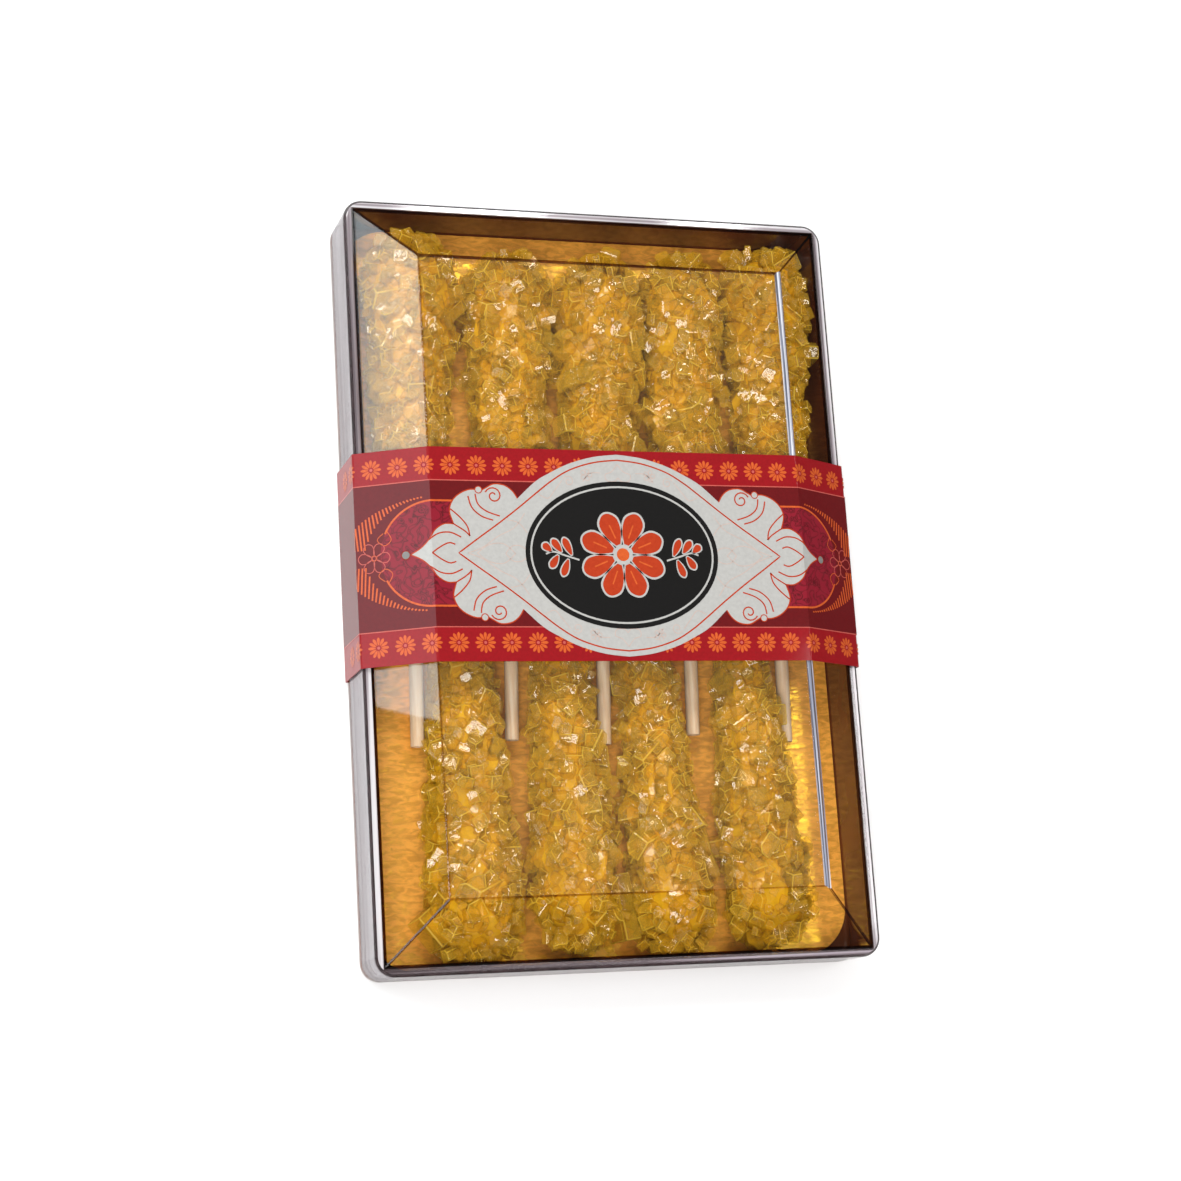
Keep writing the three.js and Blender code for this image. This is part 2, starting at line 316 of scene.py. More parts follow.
def goldFoil():
    # Aluminium foil lacquered gold and pressed onto board: a bright mirror broken by fine creases
    material, tree, place = newMaterial("goldFoilEmbossed")
    stretched = addNode(tree, "ShaderNodeMapping", {"Scale": (0.4, 1.0, 1.0)}, {"Vector": place})
    crease = addNode(tree, "ShaderNodeTexNoise",
                     {"Scale": 1 / (cardSet["embossPitch"] * 2 * mm), "Detail": 5, "Distortion": 0.6},
                     {"Vector": stretched.outputs["Vector"]})
    sag = addNode(tree, "ShaderNodeTexNoise", {"Scale": 1 / (cardSet["sagPitch"] * mm), "Detail": 1},
                  {"Vector": place})
    tone = addRamp(tree, crease.outputs["Fac"], [(0.3, "#d9ab22"), (0.6, "#f0c63a")])
    wave = addNode(tree, "ShaderNodeBump", {"Strength": 0.4, "Distance": 2 * mm},
                   {"Height": sag.outputs["Fac"]})
    bump = addNode(tree, "ShaderNodeBump", {"Strength": 0.5, "Distance": 0.25 * mm},
                   {"Height": crease.outputs["Fac"], "Normal": wave.outputs["Normal"]})
    mirror = addNode(tree, "ShaderNodeBsdfPrincipled", {"Metallic": 1.0, "Roughness": 0.11},
                     {"Base Color": tone, "Normal": bump.outputs["Normal"]})
    lacquer = addNode(tree, "ShaderNodeBsdfPrincipled",
                      {"Base Color": linear(cardSet["lacquer"]), "Roughness": 0.45},
                      {"Normal": bump.outputs["Normal"]})
    # The lacquer is thicker in the creases, which shows as dull streaks where the foil mirrors a light
    thick = addNode(tree, "ShaderNodeMapRange",
                    {"From Min": 0.4, "From Max": 0.6, "To Min": 0.6, "To Max": 0.9},
                    {"Value": crease.outputs["Fac"]})
    foil = addNode(tree, "ShaderNodeMixShader", links={0: thick.outputs["Result"],
                                                      1: mirror.outputs["BSDF"],
                                                      2: lacquer.outputs["BSDF"]})
    addNode(tree, "ShaderNodeOutputMaterial", links={"Surface": foil.outputs["Shader"]})
    return material


def buildCard():
    low, high = boxes["gold_card"]
    bm = bmesh.new()
    face = roundedQuad(bm, low, high, low.z, cardSet["cornerRadius"] * mm, 16)
    raiseFace(bm, face, high.z - low.z)
    bmesh.ops.recalc_face_normals(bm, faces=bm.faces[:])
    bevelEdges(bm, edgesAtHeight(bm, high.z), cardSet["edgeRound"] * mm, 2)
    addPiece("goldCard", bm, [goldFoil()], "gold_card", smoothDegrees=35)


buildCard()
print("gold card")


# Sticks: a straw down the middle of each candy, as the frame lays them

stickSet = {
    "count": 9,
    "strawRadius": 1.8,
    "strawSides": 32,
    "strawWall": 0.5,
    "strawIntoTip": 5,
    "candyLength": 86,
    "crystals": 780,
    "crystalSizes": (2.2, 4.4),
    "largeShare": 0.07,
    "largeSizes": (4.8, 7.0),
    "lean": 0.45,
    "sunk": 0.42,  # the share of a crystal's size that is below the surface
    "attempts": 6,
    "tipShare": 0.93,  # crystals from here on fan out over the round tip
    "tipSpan": 0.07,
    "tipCentre": 9,  # and fan out from a point this far from its end
    "neckShare": 0.03,
    "neckCentre": 5,
    "neckRadius": 4,
    "reach": 40,
    "coreShare": 0.88,
    "coreSteps": 26,
    "coreSides": 20,
    "flatten": 4,
    "depthSpan": 3,
    "clearFace": 0.73,
    "clearEdge": 0.45,
    "edgedShare": 0.45,
    "lidWall": 0.85,
    "gap": 0.25,  # what the crystals keep clear of the lid and the tray
}

# Crystals before they are scaled, so these lengths are shares of a crystal's size
templateSet = {
    "count": 8,
    "slant": 0.22,
    "bevel": 0.045,
    "thinFace": 0.11,
}

# The two wide crystals at the near ends, where the solids have them
wideCrystals = {
    6: {"at": (-49.2, -87.5, 9.5), "size": (8.5, 9.5, 7.5), "turn": 38, "tilt": 14.3},
    7: {"at": (-0.6, -84.7, 9.0), "size": (4.6, 17, 8.5), "turn": 8, "tilt": 14.3},
}
wideFinish = {"bevel": 0.3, "faceShade": 0.35, "edgeArea": 12, "around": 0.3}

# The lid's sizes stand here because the crystals stay under it
lidSet = {
    "wall": 0.7,
    "cornerRadius": 5,
    "rimRise": 18,
    "topRise": 27,
    "flange": 2.4,
    "shoulderX": 17.1,
    "shoulderY": 17.6,
    "rimRound": 0.7,
    "crease": 0.35,
    "ridge": 0.9,
}


def stickLine(number):
    points = [v.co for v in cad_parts[f"straw_{number}"].data.vertices]
    middle = sum(p.y for p in points) / len(points)
    halves = [[p for p in points if p.y < middle], [p for p in points if p.y >= middle]]
    ends = [sum(half, Vector()) / len(half) for half in halves]
    ends.sort(key=lambda end: end.z)
    bare, inner = ends
    axis = (inner - bare).normalized()
    return bare, inner, axis


def strawPlastic():
    # Polypropylene, extruded: milky cream with a soft sheen and faint lines drawn along it
    material, tree, place = newMaterial("strawPolypropyleneExtruded")
    drawn = addNode(tree, "ShaderNodeMapping", {"Scale": (1.0, 0.04, 1.0)}, {"Vector": place})
    lines = addNode(tree, "ShaderNodeTexNoise", {"Scale": 1 / (0.7 * mm), "Detail": 3},
                    {"Vector": drawn.outputs["Vector"]})
    tone = addRamp(tree, lines.outputs["Fac"], [(0.3, "#dcb48c"), (0.7, "#f0d6b8")])
    bump = addNode(tree, "ShaderNodeBump", {"Strength": 0.2, "Distance": 0.1 * mm},
                   {"Height": lines.outputs["Fac"]})
    body = addNode(tree, "ShaderNodeBsdfPrincipled",
                   {"Roughness": 0.35, "IOR": 1.49, "Subsurface Weight": 0.3, "Subsurface Scale": 1.5 * mm,
                    "Subsurface Radius": (1.0, 0.8, 0.5)},
                   {"Base Color": tone, "Normal": bump.outputs["Normal"]})
    addNode(tree, "ShaderNodeOutputMaterial", links={"Surface": body.outputs["BSDF"]})
    return material


def rockSugar():
    # Sugar crystals grown in saffron syrup: clear gold blocks with flat bright faces, painted a darker amber
    # where they sink into the candy, a painted shade in its hollows
    material, tree, place = newMaterial("rockSugarSaffronGrown")
    depth = addNode(tree, "ShaderNodeAttribute", {"attribute_name": "depth"}).outputs["Fac"]
    grain = addNode(tree, "ShaderNodeAttribute", {"attribute_name": "grain"}).outputs["Fac"]
    cells = addNode(tree, "ShaderNodeTexVoronoi", {"Scale": 1 / (1.3 * mm)}, {"Vector": place})
    cellColour = addNode(tree, "ShaderNodeSeparateColor", links={"Color": cells.outputs["Color"]})
    veins = addNode(tree, "ShaderNodeTexNoise", {"Scale": 1 / (1.1 * mm), "Detail": 3, "Distortion": 1.0},
                    {"Vector": place})
    # Depth counts most, as painted shade: the deeper a point lies, the darker and more orange its gold. Then
    # the flaw planes inside each crystal, then cloudiness
    cellShare = addNode(tree, "ShaderNodeMath", {"operation": "MULTIPLY_ADD", 1: 0.3},
                        {0: cellColour.outputs["Red"], 2: depth})
    level = addNode(tree, "ShaderNodeMath", {"operation": "MULTIPLY_ADD", 1: 0.8},
                    {0: veins.outputs["Fac"], 2: cellShare.outputs["Value"]})
    shifted = addNode(tree, "ShaderNodeMath", {"operation": "ADD", 1: -0.55}, {0: level.outputs["Value"]})
    tone = addRamp(tree, shifted.outputs["Value"],
                   [(0.0, "#e0a61c"), (0.35, "#ebb01c"), (0.65, "#f7bc20"), (1.0, "#fdc838")])
    # The grain makes a face paler: a little at random, and a lot on thin edge faces, which is a painted
    # highlight along the crystals' edges
    limited = addNode(tree, "ShaderNodeMath", {"operation": "MULTIPLY", 1: 0.6}, {0: grain})
    paler = addNode(tree, "ShaderNodeMix", {"data_type": "RGBA", 7: linear("#ffdc58")},
                    {0: limited.outputs["Value"], 6: tone})
    # Light wanders inside the sugar, so its body is lit like the smooth candy and only the gloss by facets
    outward = addNode(tree, "ShaderNodeAttribute", {"attribute_name": "outward"}).outputs["Vector"]
    around = addNode(tree, "ShaderNodeVectorTransform", {"vector_type": "NORMAL", "convert_from": "OBJECT",
                                                        "convert_to": "WORLD"}, {"Vector": outward})
    body = addNode(tree, "ShaderNodeBsdfDiffuse",
                   links={"Color": paler.outputs[2], "Normal": around.outputs["Vector"]})
    glow = addNode(tree, "ShaderNodeBsdfTranslucent", links={"Color": paler.outputs[2]})
    milky = addNode(tree, "ShaderNodeMixShader", {0: 0.2},
                    {1: body.outputs["BSDF"], 2: glow.outputs["BSDF"]})
    # The core is cloudy, and the crystals on it are clear but for their edges, which are less clear so that
    # their painted highlight shows
    clear = addNode(tree, "ShaderNodeAttribute", {"attribute_name": "clear"}).outputs["Fac"]
    through = addNode(tree, "ShaderNodeBsdfTransparent", {"Color": linear("#fff8e4")})
    blended = addNode(tree, "ShaderNodeMixShader",
                      links={0: clear, 1: milky.outputs["Shader"], 2: through.outputs["BSDF"]})
    bump = addNode(tree, "ShaderNodeBump", {"Strength": 0.25, "Distance": 0.3 * mm},
                   {"Height": cells.outputs["Distance"]})
    gloss = addNode(tree, "ShaderNodeBsdfGlossy", {"Color": (1, 1, 1, 1), "Roughness": 0.06},
                    {"Normal": bump.outputs["Normal"]})
    facing = addNode(tree, "ShaderNodeLayerWeight", {"Blend": 0.5}).outputs["Facing"]
    steep = addNode(tree, "ShaderNodeMath", {"operation": "POWER", 1: 4.0}, {0: facing})
    shine = addNode(tree, "ShaderNodeMath", {"operation": "MULTIPLY_ADD", 1: 0.2, 2: 0.04},
                    {0: steep.outputs["Value"]})
    sugar = addNode(tree, "ShaderNodeMixShader", links={0: shine.outputs["Value"],
                                                       1: blended.outputs["Shader"],
                                                       2: gloss.outputs["BSDF"]})
    addNode(tree, "ShaderNodeOutputMaterial", links={"Surface": sugar.outputs["Shader"]})
    return material


def crystalTemplates(draw):
    # Each template is a mesh and, for each of its faces, whether it is a thin edge bevel
    templates = []
    for number in range(templateSet["count"]):
        bm = bmesh.new()
        verts = bmesh.ops.create_cube(bm, size=1)["verts"]
        bmesh.ops.scale(bm, vec=(draw.uniform(0.75, 1.0), draw.uniform(0.6, 0.95), draw.uniform(0.9, 1.5)),
                        verts=verts)
        for v in bm.verts:
            v.co.x += v.co.z * templateSet["slant"]  # sugar grows as a slanted prism
        uprights = [e for e in bm.edges if abs((e.verts[0].co - e.verts[1].co).z) > 0.5]
        bevelEdges(bm, draw.sample(uprights, 1), draw.uniform(0.14, 0.3), 1)
        bevelEdges(bm, bm.edges[:], templateSet["bevel"], 1)
        mesh = bpy.data.meshes.new(f"crystalTemplate{number}")
        bm.to_mesh(mesh)
        bm.free()
        templates.append((mesh, [face.area < templateSet["thinFace"] for face in mesh.polygons]))
    return templates


def lidRoom(x, y):
    # Height of the lid's underside over a point
    high = boxes["lid"][1]
    drop = (lidSet["topRise"] - lidSet["rimRise"]) * mm
    slopeX = drop / (lidSet["shoulderX"] - lidSet["flange"]) / mm
    slopeY = drop / (lidSet["shoulderY"] - lidSet["flange"]) / mm
    fromX = high.z - drop + (high.x - lidSet["flange"] * mm - abs(x)) * slopeX
    fromY = high.z - drop + (high.y - lidSet["flange"] * mm - abs(y)) * slopeY
    return min(high.z, fromX, fromY) - (stickSet["lidWall"] + stickSet["gap"]) * mm


def inRoom(points):
    cardTop = boxes["gold_card"][1].z
    low, high = boxes["tray"]
    side = (traySet["ledge"] + traySet["wall"] + stickSet["gap"]) * mm
    return all(cardTop < p.z < lidRoom(p.x, p.y) and low.x + side < p.x < high.x - side
               and low.y + side < p.y < high.y - side for p in points)


def surfaceFinder(number):
    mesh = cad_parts[f"candy_{number}"].data
    points = [v.co.copy() for v in mesh.vertices]
    return BVHTree.FromPolygons(points, [tuple(face.vertices) for face in mesh.polygons])


def widePlace(wide):
    turn = Matrix.Rotation(math.radians(wide["turn"]), 4, "Z")
    tilt = Matrix.Rotation(math.radians(wide["tilt"]), 4, "Y")
    return Matrix.Translation(Vector(wide["at"]) * mm) @ (turn @ tilt)


def underWide(number, point):
    # Whether a point lies in or on the candy's wide crystal, which stays clear of small ones
    if number not in wideCrystals:
        return False
    wide = wideCrystals[number]
    inside = widePlace(wide).inverted() @ point
    return all(abs(inside[k]) < (wide["size"][k] / 2 + wideFinish["around"]) * mm for k in range(3))


def addWide(bm, wide):
    # Adds the wide crystal and returns the shade of each of its faces
    block = bmesh.new()
    verts = bmesh.ops.create_cube(block, size=1 * mm)["verts"]
    bmesh.ops.scale(block, vec=wide["size"], verts=verts)
    bevelEdges(block, block.edges[:], wideFinish["bevel"] * mm, 1)
    mesh = bpy.data.meshes.new("wideCrystal")
    block.to_mesh(mesh)
    block.free()
    mesh.transform(widePlace(wide))
    bm.from_mesh(mesh)
    edgeArea = wideFinish["edgeArea"] * mm * mm
    # The thin edge faces get 1, the palest: a painted highlight along the wide crystal's edges
    shades = [1.0 if face.area < edgeArea else wideFinish["faceShade"] for face in mesh.polygons]
    bpy.data.meshes.remove(mesh)
    return shades


def growCore(bm, neck, axis, surfacePoint):
    # Rings on the candy's own surface, drawn in a little and bridged
    steps = stickSet["coreSteps"]
    sides = stickSet["coreSides"]
    rings = []
    for step in range(steps):
        share = step / (steps - 1)
        along = stickSet["candyLength"] * mm * (0.02 + 0.95 * share)
        drawnIn = stickSet["coreShare"] * min(1, math.sqrt((1.02 - share) / 0.08), 0.7 + share * 5)
        isEnd = step in (0, steps - 1)
        ring = bmesh.ops.create_circle(bm, segments=sides, radius=1 * mm, cap_ends=isEnd)["verts"]
        middle = neck + axis * along
        for index, v in enumerate(ring):
            point = surfacePoint(along, math.tau * index / sides)[0]
            v.co = middle + (point - middle) * drawnIn
        edges = dict.fromkeys(e for v in ring for e in v.link_edges)
        rings.append([e for e in edges if all(v in ring for v in e.verts)])
    for first, second in zip(rings, rings[1:]):
        bmesh.ops.bridge_loops(bm, edges=first + second)
    bmesh.ops.recalc_face_normals(bm, faces=bm.faces[:])


def growCrystals(bm, number, templates, surfacePoint):
    # Grows crystals all over the candy and returns the shade of each of their faces
    draw = random.Random(300 + number)
    length = stickSet["candyLength"] * mm
    golden = math.pi * (3 - math.sqrt(5))
    count = stickSet["crystals"]
    shades = []
    for index in range(count):
        share = (index + draw.random()) / count
        around = index * golden + draw.uniform(-0.3, 0.3)
        tilt = 0.0
        along = share * length
        if share > stickSet["tipShare"]:
            tilt = (share - stickSet["tipShare"]) / stickSet["tipSpan"] * math.pi / 2
            along = length - stickSet["tipCentre"] * mm
        elif share < stickSet["neckShare"]:
            tilt = -draw.uniform(0.3, 1.2)
            along = stickSet["neckCentre"] * mm
        point, outward = surfacePoint(along, around, tilt)
        large = draw.random() < stickSet["largeShare"]
        size = draw.uniform(*stickSet["largeSizes" if large else "crystalSizes"]) * mm
        for attempt in range(stickSet["attempts"]):
            lean = Vector([draw.gauss(0, stickSet["lean"]) for _ in range(3)])
            upright = (outward + lean).normalized().to_track_quat("Z", "Y").to_matrix().to_4x4()
            turn = upright @ Matrix.Rotation(draw.uniform(0, math.tau), 4, "Z")
            foot = Matrix.Translation(point - outward * size * stickSet["sunk"])
            place = foot @ turn @ Matrix.Scale(size, 4)
            template, isEdge = draw.choice(templates)
            if underWide(number, point):
                break
            if inRoom([place @ v.co for v in template.vertices]):
                grown = template.copy()
                grown.transform(place)
                bm.from_mesh(grown)
                bpy.data.meshes.remove(grown)
                # Each crystal gets a random tone, and on some crystals the thin edge faces get 1, the palest:
                # a painted highlight
                shade = 0.45 * draw.random() ** 2
                paintedEdgeHighlight = 1.0 if draw.random() < stickSet["edgedShare"] else shade
                shades += [paintedEdgeHighlight if thin else shade for thin in isEdge]
                break
            size *= 0.85
            point -= outward * 0.4 * mm
    return shades


def markCandy(mesh, coreFaces, shades, neck, axis, finder):
    # Gives each face its shade (a random tone, or a painted highlight on thin edges) and clearness, and each
    # point its depth (for painted shade in the hollows) and the way that it is lit
    clears = [0.0] * coreFaces
    clears += [stickSet["clearEdge" if shade == 1 else "clearFace"] for shade in shades[coreFaces:]]
    depths = []
    outwards = []
    for v in mesh.vertices:
        away = (v.co - neck) - axis * (v.co - neck).dot(axis)
        outwards += list((away.normalized() + Vector((0, 0, stickSet["flatten"]))).normalized())
        nearest, normal, _, _ = finder.find_nearest(v.co)
        # 0 is half the span under the candy's mean surface, and 1 is as far above it
        depths.append(0.5 + (v.co - nearest).dot(normal) / (stickSet["depthSpan"] * mm))
    for name, kind, domain, key, values in (("clear", "FLOAT", "FACE", "value", clears),
                                            ("grain", "FLOAT", "FACE", "value", shades),
                                            ("depth", "FLOAT", "POINT", "value", depths),
                                            ("outward", "FLOAT_VECTOR", "POINT", "vector", outwards)):
        mesh.attributes.new(name, kind, domain).data.foreach_set(key, values)


def growCandy(number, templates, sugar):
    inner, axis = stickLine(number)[1:]
    tip = inner + axis * stickSet["strawIntoTip"] * mm
    neck = tip - axis * (stickSet["candyLength"] * mm)
    side = axis.cross(Vector((0, 0, 1))).normalized()
    up = side.cross(axis)
    finder = surfaceFinder(number)
    reach = stickSet["reach"] * mm

    def surfacePoint(along, around, tilt=0.0):
        outward = side * math.cos(around) + up * math.sin(around)
        outward = (outward * math.cos(tilt) + axis * math.sin(tilt)).normalized()
        origin = neck + axis * along
        hit = finder.ray_cast(origin + outward * reach, -outward, reach)[0]
        return hit or origin + outward * stickSet["neckRadius"] * mm, outward

    bm = bmesh.new()
    growCore(bm, neck, axis, surfacePoint)
    coreFaces = len(bm.faces)
    shades = [0.0] * coreFaces + growCrystals(bm, number, templates, surfacePoint)
    if number in wideCrystals:
        shades += addWide(bm, wideCrystals[number])
    piece = addPiece(f"candy.{number}", bm, [sugar], f"candy_{number}")
    markCandy(piece.data, coreFaces, shades, neck, axis, finder)
    return len(piece.data.polygons)


def buildStraw(number, plastic):
    bare, inner, axis = stickLine(number)
    bm = bmesh.new()
    ring = bmesh.ops.create_circle(bm, segments=stickSet["strawSides"],
                                   radius=stickSet["strawRadius"] * mm)["verts"]
    turn = axis.to_track_quat("Z", "Y").to_matrix().to_4x4()
    bmesh.ops.transform(bm, matrix=Matrix.Translation(bare) @ turn, verts=ring)
    made = bmesh.ops.extrude_edge_only(bm, edges=bm.edges[:])["geom"]
    far = [v for v in made if isinstance(v, bmesh.types.BMVert)]
    bmesh.ops.translate(bm, vec=inner - bare, verts=far)
    bmesh.ops.recalc_face_normals(bm, faces=bm.faces[:])
    for face in bm.faces:
        middle = face.calc_center_median()
        nearest = bare + axis * (middle - bare).dot(axis)
        if face.normal.dot(middle - nearest) < 0:
            face.normal_flip()
    bmesh.ops.solidify(bm, geom=bm.faces[:], thickness=stickSet["strawWall"] * mm)
    addPiece(f"straw.{number}", bm, [plastic], f"straw_{number}", smoothDegrees=40)


sugar = rockSugar()
plastic = strawPlastic()
templates = crystalTemplates(random.Random(11))
for number in range(1, stickSet["count"] + 1):
    faces = growCandy(number, templates, sugar)
    buildStraw(number, plastic)
    print("candy", number, faces, "faces")
for template, isEdge in templates:
    bpy.data.meshes.remove(template)


# Lid: clear polystyrene with sloping shoulders and a flat flange round them

# The painted reflections and painted shade beside the clear finish, in the order of the lid's materials: the
# pale and dark lines that light makes in the clear plastic seen edge on are painted into these colours.
# Across stretches the lines in one.
lidPaintedLight = {
    "skirt": {"colours": ("#80767a", "#9a9094", "#aea8ac"), "cover": 0.6, "across": (0.01, 0.01, 0.5)},
    "flangeSide": {"colours": ("#6a6064", "#aca2a6", "#d8d4d6"), "cover": 0.7, "across": (1.0, 0.01, 0.01)},
    "crease": {"colours": ("#6c5048", "#9a8070")},
    "ridge": {"colours": ("#1c1a24", "#9aa0b4", "#f4f4f8"), "cover": 0.85, "across": (3.0, 0.02, 3.0)},
    # The lip is near black: a painted shade line under the rim's round
    "lip": {"colours": ("#1c1214", "#2c2022", "#3c2e30"), "cover": 0.8, "across": (1.0, 1.0, 1.0),
            "polish": 0.05},
    "flangeEnd": {"colours": ("#6a6064", "#aca2a6", "#d8d4d6"), "cover": 0.7, "across": (0.01, 1.0, 0.01)},
    # The near end is a darker copy of the far end: painted shade
    "flangeNear": {"colours": ("#3a3032", "#6e6266", "#a89ca4"), "cover": 0.7, "across": (0.01, 1.2, 0.01)},
    # The pale crease tint is a painted highlight
    "creasePale": {"colours": ("#d0c0a8", "#f0e8dc")},
}
finishNumber = {name: number for number, name in enumerate(["clear", *lidPaintedLight])}


def clearStyrene():
    # Polystyrene, injection moulded and polished: only its reflections show
    material, tree, place = newMaterial("clearStyreneMoulded")
    ripple = addNode(tree, "ShaderNodeTexNoise", {"Scale": 1 / (30 * mm), "Detail": 1}, {"Vector": place})
    bump = addNode(tree, "ShaderNodeBump", {"Strength": 0.04, "Distance": 0.3 * mm},
                   {"Height": ripple.outputs["Fac"]})
    through = addNode(tree, "ShaderNodeBsdfTransparent", {"Color": (0.985, 0.985, 0.98, 1)})
    gloss = addNode(tree, "ShaderNodeBsdfGlossy", {"Color": (1, 1, 1, 1), "Roughness": 0.02},
                    {"Normal": bump.outputs["Normal"]})
    # Reflection rises from 5 % face on to all of it at a glance, alike on the wall's outer and inner face
    facing = addNode(tree, "ShaderNodeLayerWeight", {"Blend": 0.5}, {"Normal": bump.outputs["Normal"]})
    steep = addNode(tree, "ShaderNodeMath", {"operation": "POWER", 1: 5.0}, {0: facing.outputs["Facing"]})
    share = addNode(tree, "ShaderNodeMath", {"operation": "MULTIPLY_ADD", 1: 0.95, 2: 0.05},
                    {0: steep.outputs["Value"]})
    mix = addNode(tree, "ShaderNodeMixShader", links={0: share.outputs["Value"], 1: through.outputs["BSDF"],
                                                     2: gloss.outputs["BSDF"]})
    addNode(tree, "ShaderNodeOutputMaterial", links={"Surface": mix.outputs["Shader"]})
    return material


def styrenePaintedLight(name, colours, cover, across, polish=0.5):
    # The same polystyrene where it is seen edge on: the light that gathers in it is painted on, as pale and
    # dark lines of painted reflection and painted shade
    material, tree, place = newMaterial(name)
    drawn = addNode(tree, "ShaderNodeMapping", {"Scale": across}, {"Vector": place})
    lines = addNode(tree, "ShaderNodeTexNoise", {"Scale": 1 / (1.4 * mm), "Detail": 2},
                    {"Vector": drawn.outputs["Vector"]})
    tone = addRamp(tree, lines.outputs["Fac"], [(0.36, colours[0]), (0.5, colours[1]), (0.6, colours[2])])
    amount = addNode(tree, "ShaderNodeMapRange", {"To Min": cover - 0.15, "To Max": cover + 0.15},
                     {"Value": lines.outputs["Fac"]})
    through = addNode(tree, "ShaderNodeBsdfTransparent", {"Color": (0.96, 0.95, 0.95, 1)})
    body = addNode(tree, "ShaderNodeBsdfPrincipled",
                   {"Roughness": 0.06, "IOR": 1.59, "Specular IOR Level": polish}, {"Base Color": tone})
    mix = addNode(tree, "ShaderNodeMixShader", links={0: amount.outputs["Result"], 1: through.outputs["BSDF"],
                                                     2: body.outputs["BSDF"]})
    addNode(tree, "ShaderNodeOutputMaterial", links={"Surface": mix.outputs["Shader"]})
    return material


def creaseStyrene(name, colours):
    # The same polystyrene at its creases, where it bends the view: its dark tint is painted shade, and it
    # lights up only where a light glances off its gloss
    material, tree, place = newMaterial(name)
    along = addNode(tree, "ShaderNodeTexNoise", {"Scale": 1 / (15 * mm), "Detail": 2}, {"Vector": place})
    tint = addRamp(tree, along.outputs["Fac"], [(0.3, colours[0]), (0.7, colours[1])])
    through = addNode(tree, "ShaderNodeBsdfTransparent", links={"Color": tint})
    gloss = addNode(tree, "ShaderNodeBsdfGlossy", {"Color": (1, 1, 1, 1), "Roughness": 0.05})
    mix = addNode(tree, "ShaderNodeMixShader", {0: 0.012},
                  {1: through.outputs["BSDF"], 2: gloss.outputs["BSDF"]})
    addNode(tree, "ShaderNodeOutputMaterial", links={"Surface": mix.outputs["Shader"]})
    return material


def paint(faces, finish):
    for face in faces:
        face.material_index = finishNumber[finish]


def finishesOf(edge):
    return {face.material_index for face in edge.link_faces}


